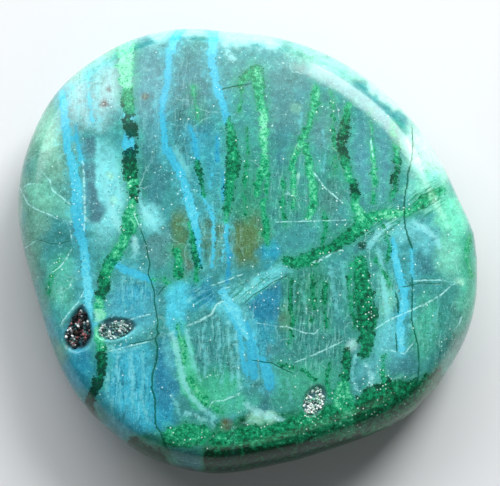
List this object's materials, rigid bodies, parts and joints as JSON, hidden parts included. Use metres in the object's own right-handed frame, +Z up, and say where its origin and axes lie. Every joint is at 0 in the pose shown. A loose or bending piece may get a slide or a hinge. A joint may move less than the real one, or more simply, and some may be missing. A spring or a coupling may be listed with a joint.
{
  "type": "polished chrysocolla stone",
  "caption": "Polished palm stone of chrysocolla and malachite in quartz: flat, rounded, with a domed face, ground shoulders and small druse pockets.",
  "frame": {"origin": "middle of the stone's outline, on the plane of the flat spot it rests on", "axes": "+Z up through the thickness, out of the domed face; +X across the stone's width; +Y across its face, away from the side with the steep edge"},
  "size_m": [0.064, 0.063, 0.016],
  "materials": {
    "polished_chrysocolla": "polished, glossy, slightly translucent blue-green stone with turquoise and green veins"
  },
  "bodies": {
    "root": {"chrysocolla_stone": "polished_chrysocolla"}
  },
  "joints": []
}
